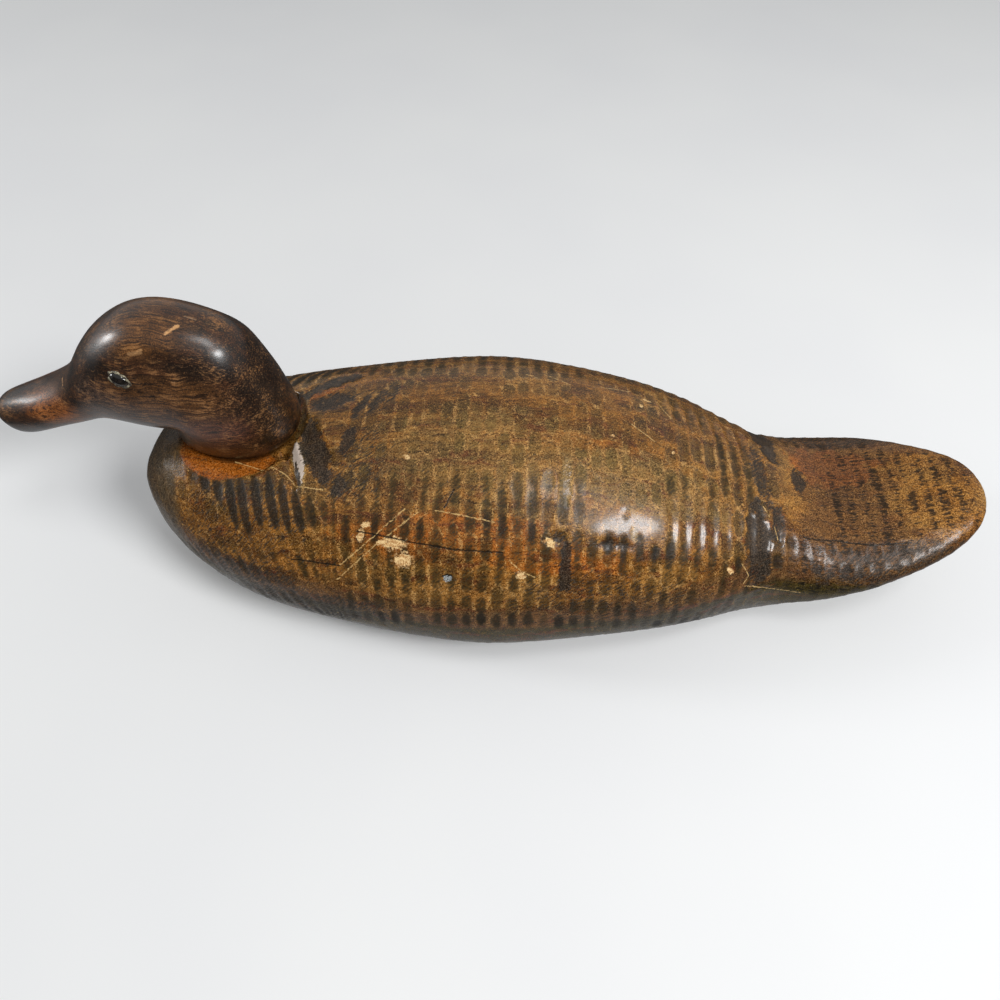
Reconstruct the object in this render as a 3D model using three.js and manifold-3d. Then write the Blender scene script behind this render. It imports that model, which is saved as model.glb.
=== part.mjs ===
// A folk carved duck decoy: a body with a paddle tail, a head that sits on a cut shelf, and two glass eyes.
// Millimetres, +Z up. The bill points along -X, the tail along +X, and the duck stands on its flat underside.
import * as THREE from 'three';
import { mergeVertices } from 'three/addons/utils/BufferGeometryUtils.js';
import Module from 'manifold-3d';

const wasm = await Module();
wasm.setup();

// Driving dimensions of the body. Each row of bodyLines is a line of the carver's plan, read at the x stations.
const breastEnd = -154.5;
const tailEnd = 203.5;
const bodyLines = {
  x: [-155, -110, -60, -10, 40, 88, 114, 138, 168, 204],
  halfWidth: [51, 58.5, 61.5, 66.5, 61.5, 50, 40.5, 40.5, 36.5, 34.5],
  top: [74.5, 74.5, 82, 87.5, 83.5, 67, 56, 47.5, 50, 58.5],
  girth: [36, 35, 34, 33, 33, 33, 29, 30.5, 39, 48],
  underside: [-2, -3, -3, -3, -3, -5, -8, 7.5, 26, 35],
  fullnessAbove: [2.5, 2.4, 2.1, 2.1, 2.1, 2.1, 2.1, 2.2, 2.3, 2.3],
  fullnessBelow: [2.3, 2.4, 2.6, 2.6, 2.6, 2.6, 2.5, 2.4, 2.3, 2.2],
};
const breastRounding = { width: 117, height: 35 };
const tailRounding = { width: 50, height: 12 };
const bodyMesh = { stations: 64, around: 44 };

// The shelf cut in the shoulders for the neck: a flat round whose wall curves up behind it.
const seat = { x: -107, radius: 25, height: 72, wall: 260, reach: 1.35, toolTop: 172 };
const seatMesh = { around: 48, wallSteps: 6 };

// Driving dimensions of the head. Each section runs from the chin line to the crown line, seen from the side,
// and fans round from upright at the bill to level at the neck. The stations are shares of the way along.
const headLines = {
  along: [0, 0.1, 0.24, 0.38, 0.5, 0.62, 0.75, 0.87, 0.95, 1],
  crownX: [-204.5, -197, -174, -159, -147.5, -125.5, -99, -86, -80, -86.5],
  crownZ: [81, 87, 97, 108.5, 122, 133.5, 127.5, 108, 80.5, 72.3],
  chinX: [-202.5, -191, -176.5, -162.5, -152.5, -144, -132.5, -127.5, -128.5, -122.5],
  chinZ: [70.5, 70.5, 76.5, 81, 84, 83.5, 81.5, 81.5, 74, 72.3],
  halfWidth: [4.5, 8.5, 12, 13.5, 15.5, 19, 19.5, 20, 17.5, 15.5],
};
const billRounding = 0.1;
const headFullness = 2.2;
const headMesh = { stations: 38, around: 36 };

// A glass eye is a bead let into a socket, one on each side of the head.
const eye = { x: -131.4, side: 14.6, height: 116.1, radius: 5, clearance: 0.3 };
const eyeMesh = { around: 14, rows: 10 };

const bodyWood = new THREE.MeshStandardMaterial({ color: 0x7a5230, roughness: 0.35, metalness: 0 });
const headWood = new THREE.MeshStandardMaterial({ color: 0x3f2418, roughness: 0.3, metalness: 0 });
const glass = new THREE.MeshStandardMaterial({ color: 0x120d0a, roughness: 0.08, metalness: 0 });

// A natural cubic spline through (knots, values), given back as a function of the knot variable.
function smoothLine(knots, values) {
  const last = knots.length - 1;
  const gap = (i) => knots[i + 1] - knots[i];
  const slope = (i) => (values[i + 1] - values[i]) / gap(i);
  const bend = new Array(last + 1).fill(0);
  const factor = new Array(last + 1).fill(0);
  for (let i = 1; i < last; i += 1) {
    const pivot = 2 * (gap(i - 1) + gap(i)) - gap(i - 1) * factor[i - 1];
    factor[i] = gap(i) / pivot;
    bend[i] = (6 * (slope(i) - slope(i - 1)) - gap(i - 1) * bend[i - 1]) / pivot;
  }
  for (let i = last - 1; i > 0; i -= 1) {
    bend[i] -= factor[i] * bend[i + 1];
  }
  return (x) => {
    let i = 0;
    while (i < last - 1 && x > knots[i + 1]) {
      i += 1;
    }
    const h = gap(i);
    const a = (knots[i + 1] - x) / h;
    const b = (x - knots[i]) / h;
    const cubic = (a ** 3 - a) * bend[i] + (b ** 3 - b) * bend[i + 1];
    return a * values[i] + b * values[i + 1] + (cubic * h * h) / 6;
  };
}

// Every line of a plan as a function, read at the stations of its first row.
function readPlan(plan, stationRow) {
  const lines = {};
  for (const [name, values] of Object.entries(plan)) {
    lines[name] = smoothLine(plan[stationRow], values);
  }
  return lines;
}

// A quarter of an ellipse that grows from 0 at an end to 1 at the given length from it.
function endRounding(distance, length) {
  const share = THREE.MathUtils.clamp(distance / length, 0, 1);
  return Math.sqrt(1 - (1 - share) ** 2);
}

// One coordinate of a superellipse: a cosine or sine raised to 2 / fullness with its sign kept.
function fullCurve(wave, fullness) {
  return Math.sign(wave) * Math.abs(wave) ** (2 / fullness);
}

// A closed skin over rings of points, with a single point at the first and the last ring.
function skinOver(rings) {
  const around = rings[1].length;
  const points = [rings[0][0], ...rings.slice(1, -1).flat(), rings.at(-1)[0]];
  const at = (ring, step) => 1 + (ring - 1) * around + (step % around);
  const index = [];
  for (let step = 0; step < around; step += 1) {
    index.push(0, at(1, step + 1), at(1, step));
    index.push(points.length - 1, at(rings.length - 2, step), at(rings.length - 2, step + 1));
    for (let ring = 1; ring < rings.length - 2; ring += 1) {
      index.push(at(ring, step), at(ring, step + 1), at(ring + 1, step));
      index.push(at(ring, step + 1), at(ring + 1, step + 1), at(ring + 1, step));
    }
  }
  const geometry = new THREE.BufferGeometry();
  geometry.setAttribute('position', new THREE.Float32BufferAttribute(points.flat(), 3));
  geometry.setIndex(index);
  return geometry;
}

// Body sections are superellipses, fuller below than above, cut off flat where they would pass below z = 0.
// The stations crowd towards the two ends, where the form turns fastest.
function bodyGeometry() {
  const plan = readPlan(bodyLines, 'x');
  const rings = [];
  for (let i = 0; i <= bodyMesh.stations; i += 1) {
    const turn = (Math.PI * i) / bodyMesh.stations;
    const x = (breastEnd + tailEnd) / 2 - ((tailEnd - breastEnd) / 2) * Math.cos(turn);
    const round = (size) => endRounding(x - breastEnd, breastRounding[size])
      * endRounding(tailEnd - x, tailRounding[size]);
    const girth = plan.girth(x);
    const rise = (plan.top(x) - girth) * round('height');
    const drop = (girth - plan.underside(x)) * round('height');
    const half = plan.halfWidth(x) * round('width');
    const ring = [];
    for (let j = 0; j < bodyMesh.around; j += 1) {
      const angle = (2 * Math.PI * j) / bodyMesh.around;
      const above = j <= bodyMesh.around / 2;
      const fullness = above ? plan.fullnessAbove(x) : plan.fullnessBelow(x);
      const z = girth + (above ? rise : drop) * fullCurve(Math.sin(angle), fullness);
      ring.push([x, half * fullCurve(Math.cos(angle), fullness), Math.max(z, 0)]);
    }
    rings.push(ring);
  }
  return skinOver(rings);
}

// The tool that cuts the shelf: a flat-bottomed bowl whose wall rises as the square of the way past its edge.
function seatCutter() {
  const profile = [new THREE.Vector2(0, seat.height)];
  for (let i = 0; i <= seatMesh.wallSteps; i += 1) {
    const past = ((seat.reach - 1) * i) / seatMesh.wallSteps;
    profile.push(new THREE.Vector2(1 + past, seat.height + seat.wall * past * past));
  }
  profile.push(new THREE.Vector2(seat.reach, seat.toolTop), new THREE.Vector2(0, seat.toolTop));
  const geometry = new THREE.LatheGeometry(profile, seatMesh.around);
  geometry.rotateX(Math.PI / 2);
  geometry.scale(seat.radius, seat.radius, 1);
  geometry.translate(seat.x, 0, 0);
  return geometry;
}

// Head sections are superellipses that span from the chin line to the crown line. The last is the flat base.
function headGeometry() {
  const plan = readPlan(headLines, 'along');
  const rings = [];
  for (let i = 0; i <= headMesh.stations; i += 1) {
    const along = i / headMesh.stations;
    const round = endRounding(along, billRounding);
    const chin = new THREE.Vector2(plan.chinX(along), plan.chinZ(along));
    const crown = new THREE.Vector2(plan.crownX(along), plan.crownZ(along));
    const middle = chin.clone().add(crown).multiplyScalar(0.5);
    const reach = crown.sub(chin).multiplyScalar(0.5 * round);
    const half = plan.halfWidth(along) * round;
    const ring = [];
    for (let j = 0; j < headMesh.around; j += 1) {
      const angle = (2 * Math.PI * j) / headMesh.around;
      const lift = fullCurve(Math.sin(angle), headFullness);
      ring.push([
        middle.x + reach.x * lift,
        half * fullCurve(Math.cos(angle), headFullness),
        middle.y + reach.y * lift,
      ]);
    }
    rings.push(ring);
  }
  const base = rings.at(-1);
  const baseMiddle = [(base[headMesh.around / 4][0] + base[(headMesh.around * 3) / 4][0]) / 2, 0, base[0][2]];
  rings.push([baseMiddle]);
  return skinOver(rings);
}

// The bead of one eye, or the socket for it when it is made larger by the clearance.
function eyeBead(side, radius) {
  const geometry = new THREE.SphereGeometry(radius, eyeMesh.around, eyeMesh.rows);
  geometry.translate(eye.x, side * eye.side, eye.height);
  return geometry;
}

// A closed geometry as a solid that can be cut.
function toSolid(geometry) {
  geometry.deleteAttribute('normal');
  geometry.deleteAttribute('uv');
  const merged = mergeVertices(geometry);
  const mesh = new wasm.Mesh({
    numProp: 3,
    vertProperties: new Float32Array(merged.attributes.position.array),
    triVerts: new Uint32Array(merged.index.array),
  });
  return new wasm.Manifold(mesh);
}

function fromSolid(solid) {
  const mesh = solid.getMesh();
  const geometry = new THREE.BufferGeometry();
  geometry.setAttribute('position', new THREE.Float32BufferAttribute(mesh.vertProperties, mesh.numProp));
  geometry.setIndex([...mesh.triVerts]);
  geometry.computeVertexNormals();
  return geometry;
}

function cut(geometry, tools) {
  return fromSolid(tools.reduce((solid, tool) => solid.subtract(toSolid(tool)), toSolid(geometry)));
}

function addPiece(group, name, geometry, material) {
  const mesh = new THREE.Mesh(geometry, material);
  mesh.name = name;
  group.add(mesh);
}

const decoy = new THREE.Group();
addPiece(decoy, 'body', cut(bodyGeometry(), [seatCutter()]), bodyWood);
const sockets = [-1, 1].map((side) => eyeBead(side, eye.radius + eye.clearance));
addPiece(decoy, 'head', cut(headGeometry(), sockets), headWood);
addPiece(decoy, 'eye_left', eyeBead(-1, eye.radius), glass);
addPiece(decoy, 'eye_right', eyeBead(1, eye.radius), glass);

export default decoy;
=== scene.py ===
import math
from functools import reduce
from types import SimpleNamespace

import bpy
import numpy as np
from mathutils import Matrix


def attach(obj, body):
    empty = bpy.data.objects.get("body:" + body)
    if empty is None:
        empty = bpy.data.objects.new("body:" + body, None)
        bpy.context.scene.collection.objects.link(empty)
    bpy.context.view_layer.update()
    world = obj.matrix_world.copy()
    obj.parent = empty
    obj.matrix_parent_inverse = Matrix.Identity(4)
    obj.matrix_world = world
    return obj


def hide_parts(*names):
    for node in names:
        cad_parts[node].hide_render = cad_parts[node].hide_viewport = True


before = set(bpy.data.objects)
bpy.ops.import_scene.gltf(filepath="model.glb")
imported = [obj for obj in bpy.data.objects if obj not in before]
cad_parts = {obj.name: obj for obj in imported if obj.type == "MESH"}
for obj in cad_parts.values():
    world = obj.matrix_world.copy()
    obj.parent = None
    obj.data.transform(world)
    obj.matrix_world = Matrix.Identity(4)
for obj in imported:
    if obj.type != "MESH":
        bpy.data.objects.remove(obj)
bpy.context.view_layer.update()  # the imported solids: body, head, eye_left and eye_right
mm = 0.001
print("frame loaded:", sorted(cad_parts))

# The photographed view: close above the near side of the duck, so near things look much larger.
view = {
    "place": (10.1, -195.6, 304.8),  # mm, in the part's own frame
    "downward": 54.5,  # degrees below level
    "turn": 2.98,  # degrees, seen from above
    "lens": 27.0,
    "sensor": 36.0,
}


def addCamera():
    lens = bpy.data.cameras.new("camera")
    lens.lens = view["lens"]
    lens.sensor_width = view["sensor"]
    lens.clip_start = 0.01
    camera = bpy.data.objects.new("camera", lens)
    camera.location = [c * mm for c in view["place"]]
    camera.rotation_euler = (math.radians(90 - view["downward"]), 0, math.radians(view["turn"]))
    bpy.context.scene.collection.objects.link(camera)
    bpy.context.scene.camera = camera


addCamera()
print("camera placed")


# A natural cubic spline: the straight line between two knots plus a cubic from the bends at both knots.
def smoothLine(knots, values):
    t, y = np.array(knots, float), np.array(values, float)
    gap = np.diff(t)
    inner = np.arange(1, len(t) - 1)
    rows = np.eye(len(t))
    rows[inner, inner - 1] = gap[:-1]
    rows[inner, inner] = 2 * (gap[:-1] + gap[1:])
    rows[inner, inner + 1] = gap[1:]
    pull = np.zeros(len(t))
    pull[1:-1] = 6 * np.diff(np.diff(y) / gap)
    bend = np.linalg.solve(rows, pull)

    def read(x):
        i = np.clip(np.searchsorted(t, x) - 1, 0, len(gap) - 1)
        a = (t[i + 1] - x) / gap[i]
        b = (x - t[i]) / gap[i]
        cubic = (a**3 - a) * bend[i] + (b**3 - b) * bend[i + 1]
        return a * y[i] + b * y[i + 1] + cubic * gap[i] ** 2 / 6

    return read


# A quarter of an ellipse: the root of 1 - (1 - d / length) squared, which reaches 1 at the given length.
def endRounding(distance, length):
    return np.sqrt(1 - (1 - np.clip(distance / length, 0, 1)) ** 2)


# One coordinate of a superellipse: a sine or cosine raised to 2 / fullness with its sign kept.
def fullCurve(wave, fullness):
    return np.sign(wave) * np.abs(wave) ** (2 / fullness)


# 3t^2 - 2t^3 of the way from one value to another, which may also run downwards.
def smoothStep(start, end, value):
    t = np.clip((value - start) / (end - start), 0, 1)
    return t * t * (3 - 2 * t)


# Smooth noise from -1 to 1: seeded values on a lattice of the given cell, mixed over the eight corners.
def latticeNoise(points, cell, seed):
    size = 32
    table = np.random.default_rng(seed).uniform(-1, 1, (size, size, size))
    place = points / np.array(cell, float)
    low = np.floor(place).astype(int)
    part = place - low
    part = part * part * (3 - 2 * part)
    total = np.zeros(points.shape[:-1])
    for corner in np.ndindex(2, 2, 2):
        weight = np.prod(np.where(corner, part, 1 - part), axis=-1)
        i, j, k = np.moveaxis((low + corner) % size, -1, 0)
        total += weight * table[i, j, k]
    return total


# Smooth noises added up. Each layer has its lattice cell in millimetres, its size and its seed.
def layeredNoise(points, layers):
    return sum(size * latticeNoise(points, cell, seed) for cell, size, seed in layers)


# Outward normals of a grid of points: the cross product of the steps along it and round it.
def gridNormals(points):
    along = np.gradient(points, axis=0)
    across = np.roll(points, -1, axis=1) - np.roll(points, 1, axis=1)
    normal = np.cross(across, along)
    return normal / np.maximum(np.linalg.norm(normal, axis=-1, keepdims=True), 1e-9)


# Faces over rings of points, a quad between each two neighbours, with a fan to one point at each end.
def closedFaces(rings, around):
    step = np.arange(around)
    following = (step + 1) % around
    start = 1 + around * np.arange(rings - 1)[:, None]
    quads = np.stack([start + step, start + following, start + around + following, start + around + step], -1)
    last = 1 + around * (rings - 1)
    first = np.stack([np.zeros_like(step), 1 + following, 1 + step], -1)
    end = np.stack([np.full_like(step, last + around), last + step, last + following], -1)
    return [*first.tolist(), *quads.reshape(-1, 4).tolist(), *end.tolist()]


# A smooth mesh object from points in millimetres, with any named values stored on its points.
def addMesh(name, points, faces, values=None):
    mesh = bpy.data.meshes.new(name)
    mesh.from_pydata((points * mm).tolist(), [], faces)
    mesh.polygons.foreach_set("use_smooth", np.ones(len(faces), bool))
    for title, value in (values or {}).items():
        kind, field = ("FLOAT", "value") if value.ndim == 1 else ("FLOAT_VECTOR", "vector")
        mesh.attributes.new(title, kind, "POINT").data.foreach_set(field, value.astype(np.float32).ravel())
    mesh.update()
    piece = bpy.data.objects.new(name, mesh)
    bpy.context.scene.collection.objects.link(piece)
    return piece


# A value on the rings with the same value at both ends added, in the order of the mesh points.
def withEnds(first, rings, last):
    flat = rings.reshape(-1, *rings.shape[2:])
    return np.concatenate([[first], flat, [last]])


# A socket that can stand in a sum. Each operator adds one Math node, and node() adds any other.
class Wire:
    def __init__(self, tree, socket=None):
        self.tree = tree
        self.socket = socket

    def node(self, kind, settings=None, inputs=None, output=0):
        made = self.tree.nodes.new(kind)
        for name, value in (settings or {}).items():
            setattr(made, name, value)
        for key, value in (inputs or {}).items():
            if isinstance(value, Wire):
                self.tree.links.new(value.socket, made.inputs[key])
            else:
                made.inputs[key].default_value = value
        return Wire(self.tree, made.outputs[output])

    def math(self, operation, first, second):
        return self.node("ShaderNodeMath", {"operation": operation}, {0: first, 1: second})

    def __add__(self, other):
        return self.math("ADD", self, other)

    def __sub__(self, other):
        return self.math("SUBTRACT", self, other)

    def __rsub__(self, other):
        return self.math("SUBTRACT", other, self)

    def __mul__(self, other):
        return self.math("MULTIPLY", self, other)

    __radd__ = __add__
    __rmul__ = __mul__

    def largest(self, other):
        return self.math("MAXIMUM", self, other)

    def clamped(self):
        return self.math("MINIMUM", self.largest(0.0), 1.0)

    def swing(self, strength):  # a noise as its way from its middle value
        return (self - 0.5) * strength

    def step(self, start, end):
        limits = {"Value": self, "From Min": start, "From Max": end}
        return self.node("ShaderNodeMapRange", {"interpolation_type": "SMOOTHSTEP"}, limits)

    def vector(self, operation, first, second, output=0):
        return self.node("ShaderNodeVectorMath", {"operation": operation}, {0: first, 1: second}, output)

    def stretched(self, factors):
        return self.vector("MULTIPLY", self, factors)

    def outward(self, centre, sizes):  # the share of the way out in an ellipsoid: 1 on its skin
        offset = self.vector("SUBTRACT", self, centre).stretched(tuple(1 / size for size in sizes))
        return self.vector("LENGTH", offset, offset, 1)

    def part(self, index):  # 0, 1 and 2 for x, y and z
        return self.node("ShaderNodeSeparateXYZ", {}, {0: self}, index)

    def joined(self, x=0.0, y=0.0, z=0.0):
        return self.node("ShaderNodeCombineXYZ", {}, {0: x, 1: y, 2: z})

    def stored(self, name):  # a vector kept on the piece's points
        return self.node("ShaderNodeAttribute", {"attribute_name": name}, {}, 1)

    def onPiece(self):  # Object coordinates
        return self.node("ShaderNodeTexCoord", {}, {}, 3)

    def noise(self, scale, detail=3.0, roughness=0.55):
        inputs = {"Vector": self, "Scale": scale, "Detail": detail, "Roughness": roughness}
        return self.node("ShaderNodeTexNoise", {}, inputs)

    def mixed(self, share, first, second):
        return self.node("ShaderNodeMix", {"data_type": "RGBA"}, {0: share, 6: first, 7: second}, 2)

    def under(self, share, coat):  # this colour with a share of another over it
        return self.mixed(share, self, coat)

    def brightened(self, factor):
        return self.node("ShaderNodeVectorMath", {"operation": "SCALE"}, {0: self, 3: factor})

    def bump(self, strength, depth):  # depth in millimetres
        return self.node("ShaderNodeBump", {}, {"Strength": strength, "Distance": depth * mm, "Height": self})


# A screen colour from 0 to 255 as the linear colour that a shader takes.
def paint(red, green, blue):
    share = np.array([red, green, blue]) / 255
    linear = np.where(share <= 0.04045, share / 12.92, ((share + 0.055) / 1.055) ** 2.4)
    return (*linear.tolist(), 1.0)


def paints(**colours):
    return {name: paint(*colour) for name, colour in colours.items()}


# A new material, its surface shader with the given values, and a wire to build its maps from.
def startMaterial(name, values):
    material = bpy.data.materials.new(name)
    material.use_nodes = True
    tree = material.node_tree
    shader = tree.nodes["Principled BSDF"]
    for socket, value in values.items():
        shader.inputs[socket].default_value = value
    return material, shader, Wire(tree)


def linkMap(shader, socket, wire):
    wire.tree.links.new(wire.socket, shader.inputs[socket])


# The share of a surface within an ellipse whose edge is roughened by a noise: 1 inside it and 0 outside.
def chipMask(place, ragged, chip, soft=0.25):
    centre, reach = chip
    distance = place.outward((*centre, 0), (*reach, 1))
    return (distance + ragged.swing(2.6)).step(1 + soft, 1 - soft)


# The share of a surface within a straight line: 1 in its core, 0 a width away from it.
def lineMask(place, start, end, width, core):
    run = np.subtract(end, start)
    offset = place.vector("SUBTRACT", place, tuple(start))
    share = place.vector("DOT_PRODUCT", offset, tuple(run / (run @ run)), 1).clamped()
    nearest = place.joined(*(share * step if step else 0.0 for step in run))
    return place.vector("DISTANCE", offset, nearest, 1).step(width, width * core)


# The noises that a wood's finish is mixed from, each round a half. Grain and streaks run along x and sway.
def woodNoises(start, wood):
    point = start.onPiece().stretched((1 / mm,) * 3)
    wobble = point.noise(wood["wobble"], 2.0)
    bent = point.vector("ADD", point, start.joined(0.0, *(wobble * sway for sway in wood["sway"])))
    return SimpleNamespace(
        start=start,
        point=point,
        bent=bent,
        grain=bent.stretched(wood["grain"]).noise(1.0, 4.0, 0.6),
        streak=bent.stretched(wood["streak"]).noise(1.0, 3.0, 0.6),
        speckle=point.noise(wood["speckle"], 3.0, 0.7),
        fine=point.noise(wood["fine"], 1.0, 0.6),
        blotch=point.noise(wood["blotch"], 3.0, 0.6),
        ragged=point.noise(wood["ragged"], 3.0, 0.6),
    )


# Lays coats over a colour in their order. Each has its name, the share of the surface that it is on, and
# its own colour where the finish has none by that name.
def coated(colour, finish, cover, coats):
    for name, share, *own in coats:
        colour = colour.under(share * cover[name], *(own or [finish[name]]))
    return colour


# The sum of some of a wood's patterns, each times its own weight.
def weighed(wood, weights):
    return reduce(Wire.__add__, [getattr(wood, name) * weight for name, weight in weights.items()])


# A brightness round 1 that swings with some of a wood's noises.
def shadeOf(wood, strengths):
    swings = [getattr(wood, name).swing(strength) for name, strength in strengths.items()]
    return reduce(Wire.__add__, swings) + 1.0


# Millimetres, on the plan that the solid was made from. "along" values read the lines at the x stations.
body = {
    "ends": (-154.5, 203.5),
    "x": [-155, -110, -60, -10, 40, 88, 114, 138, 168, 204],
    "halfWidth": [51, 58.5, 61.5, 66.5, 61.5, 50, 40.5, 40.5, 36.5, 34.5],
    "top": [74.5, 74.5, 82, 87.5, 83.5, 67, 56, 47.5, 50, 58.5],
    "girth": [36, 35, 34, 33, 33, 33, 29, 30.5, 39, 48],
    "underside": [-2, -3, -3, -3, -3, -5, -8, 7.5, 26, 35],
    "fullnessAbove": [2.5, 2.4, 2.1, 2.1, 2.1, 2.1, 2.1, 2.2, 2.3, 2.3],
    "fullnessBelow": [2.3, 2.4, 2.6, 2.6, 2.6, 2.6, 2.5, 2.4, 2.3, 2.2],
    "breastRounding": {"width": 117, "height": 35},
    "tailRounding": {"width": 50, "height": 12},
    "seat": {"x": -107, "radius": 25, "height": 72, "wall": 260, "reach": 1.35},
    "stations": 440,
    "around": 222,
    "columnPitch": 5.85,  # the gouge cuts stand in columns this far apart, and a little closer on the breast
    "columnAt": [-153.3, -62, 204],  # x at which the columns are numbered as below, in even steps between
    "columnNumber": [-8.2, 8.97, 54.45],
    "lean": 0.25,  # how far the breast's columns lean towards the tail, for each millimetre down the side
    "columns": 96,  # rows in the tables of chances, one for each column
}

# How far cuts stray from their columns, in column pitches, how rough the edges of marks are, and how uneven
# the skin is, in millimetres. Each layer of noise has its cell, its size and its seed.
bodyNoise = {
    "wander": [((24, 24, 24), 0.16, 1)],
    "rough": [((3, 3, 3), 1.0, 2), ((1.4, 1.4, 1.4), 0.6, 3)],
    "uneven": [((30, 22, 22), 0.3, 4), ((9, 7, 7), 0.1, 5)],
}

# The long strokes below the seat: x at the top, distance from the ridge line at the top and the bottom, ink.
breastStrokes = [
    (-120.5, 21, 25, 0.7),
    (-116.0, 21.5, 29, 1.0),
    (-110.8, 22, 34, 1.0),
    (-105.8, 22.5, 44, 1.1),
    (-101.0, 23, 48, 1.0),
    (-95.3, 23.5, 45, 1.1),
    (-89.5, 24, 48, 1.1),
    (-83.5, 28, 48, 1.0),
    (-77.5, 31, 48, 1.0),
    (-72.0, 33, 46, 0.8),
    (-66.5, 34, 44, 0.5),
]
strokeCut = {"width": 1.9, "depth": 0.45, "soft": 0.5, "stray": 2}

# Rows of gouge cuts: from one x to another, the distance round the body from the ridge line at both ends, the
# length round the body, the depth cut into the wood, the stain left in it, and the half width.
gougeRows = [
    ((-138, -60), (60, 62), 12, 0.3, 0.6, 1.5),
    ((-140, -50), (80, 82), 12, 0.35, 0.8, 1.7),
    ((-64, 34), (34, 34), 14, 0.12, 0.6, 1.4),
    ((-64, 20), (47, 47), 12, 0.18, 0.85, 1.5),
    ((-62, 108), (59, 54), 10, 0.2, 0.65, 1.4),
    ((-56, 108), (70, 63), 10, 0.2, 0.6, 1.6),
    ((-70, 108), (81, 73), 9, 0.25, 0.75, 1.7),
    ((-80, 90), (91, 83), 10, 0.3, 0.95, 1.8),
    ((24, 112), (50, 44), 9, 0.3, 0.9, 1.6),
    ((88, 106), (6, 5), 21, 0.25, 1.0, 1.7),
    ((60, 88), (22, 18), 9, 0.15, 0.5, 1.5),
    ((114, 166), (29, 27), 6, 0.5, 0.85, 2.0),
    ((108, 158), (38, 36), 6.5, 0.4, 0.95, 2.0),
    ((108, 158), (47, 44), 6.5, 0.3, 0.8, 2.0),
    ((138, 196), (6, 4), 17, 0.06, 1.0, 1.6),
    ((140, 196), (20, 15), 10, 0.08, 0.9, 1.6),
]
# Between which limits the cuts of a row differ: moved round the body in millimetres, and the rest as factors.
gougeVaries = {
    "moved": (-1.5, 1.5), "length": (0.8, 1.2), "width": (0.8, 1.25), "depth": (0.5, 1.1), "ink": (0.4, 1.1),
}

# The shallow worn cuts all over the body, in millimetres, and the share of a row that columns shift.
wornRows = {"pitch": 12.4, "width": 2.6, "shift": 0.5, "depth": 0.16, "soft": 0.35}
wornVaries = {"length": (0.36, 0.5), "width": (0.85, 1.05), "ink": (0.35, 1.0)}


# A broad mark: its centre (x, distance round from the ridge, near side negative), half sizes, lean in
# degrees, depth cut in, and how much of each finish shows there: soot is dark stain, warm is bare orange
# wood, and dustAndHighlight is greyed varnish; at its highest, in the notch beside the neck, it paints pale
# primer that is partly a painted highlight.
def broadMark(x, around, across, upward, lean=0, depth=0.0, soot=0.0, warm=0.0, dustAndHighlight=0.0):
    finish = {"soot": soot, "warm": warm, "dustAndHighlight": dustAndHighlight}
    return {"at": (x, around), "size": (across, upward), "lean": lean, "depth": depth, "finish": finish}


bodyMarks = [
    broadMark(-71, -15.5, 5.2, 17, lean=24, depth=0.6, soot=1.0),
    broadMark(-68.5, 11, 10.5, 4.6, lean=17, depth=0.5, soot=0.9),
    broadMark(-59, -10, 3.2, 6.5, lean=-12, depth=0.35, soot=0.95),
    broadMark(-72, 24, 15, 4.5, lean=32, depth=0.5, soot=0.85),
    broadMark(-56, 7, 2.3, 9, lean=-22, depth=0.3, soot=0.8),
    broadMark(-50, 9, 2.3, 10, lean=-22, depth=0.25, soot=0.7),
    broadMark(-44, 12, 2.2, 9, lean=-20, depth=0.2, soot=0.55),
    broadMark(-60, -31, 3, 4, depth=0.3, soot=0.9),
    broadMark(-52, -20, 10, 15, soot=0.36),
    # Pale primer in the notch beside the neck, partly a painted highlight.
    broadMark(-77.5, -20, 3.0, 11, lean=18, dustAndHighlight=2.2),
    broadMark(-77.2, -25, 1.0, 6, lean=18, soot=1.3),
    broadMark(-103, -47, 30, 24, soot=0.3),
    broadMark(66, -74, 52, 15, soot=0.3),
    broadMark(-81, 4, 2.2, 20, dustAndHighlight=1.0),
    broadMark(-79, 15, 16, 2.6, lean=22, warm=0.8),
    broadMark(26, -28, 2.4, 10, depth=0.3, dustAndHighlight=1.5),
    broadMark(27, -60, 2.3, 13, depth=0.3, soot=1.1),
    broadMark(23.5, -49, 4, 2.4, lean=20, depth=0.5, soot=0.7),
    broadMark(45, -48.2, 7, 1.5, lean=6, depth=0.35, soot=0.6),
    broadMark(52.5, -43, 1.7, 3.0, depth=0.15, dustAndHighlight=1.0),
    broadMark(48.5, -35.5, 1.2, 2.6, depth=0.15),
    broadMark(-17, -66.7, 2.6, 1.7, depth=0.5),
    broadMark(105.5, -33, 6, 19, lean=4, depth=0.8, soot=0.95),
    broadMark(108, -2, 3.6, 17, lean=8, depth=0.5, soot=0.6),
    broadMark(113, 30, 5.5, 22, lean=8, depth=0.7, soot=0.9),
    broadMark(114, -22, 3.2, 9, depth=0.6, soot=0.75),
    broadMark(127, 3, 3.6, 7, depth=0.45, soot=0.9),
    broadMark(143, 13, 22, 12, warm=0.75),
    broadMark(147, 33, 30, 6, soot=0.5),
    broadMark(168, -36, 40, 11, soot=0.55),
    broadMark(-5, -18, 50, 22, dustAndHighlight=0.6),
    broadMark(58, -22, 34, 14, dustAndHighlight=0.7),
    broadMark(-20, -50, 44, 10, warm=0.6),
    broadMark(20, -56, 36, 8, warm=0.5),
    broadMark(30, -10, 40, 5, warm=0.4),
    broadMark(-97, -70, 30, 11, lean=-30, soot=0.5),
    broadMark(-70, -86, 34, 9, soot=0.5),
]
notch = {"at": (-82.3, -20.5), "lean": 28, "width": 6.5, "halfLength": 11.5, "slope": 0.4, "wall": 1.6}
polished = {"at": (50, -38), "size": (26, 13)}  # where the cuts are worn nearly smooth
rump = {"from": (62, 70), "to": (109, 103), "reach": (47, 38), "depth": 0.42}  # where its flutes fade
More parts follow.
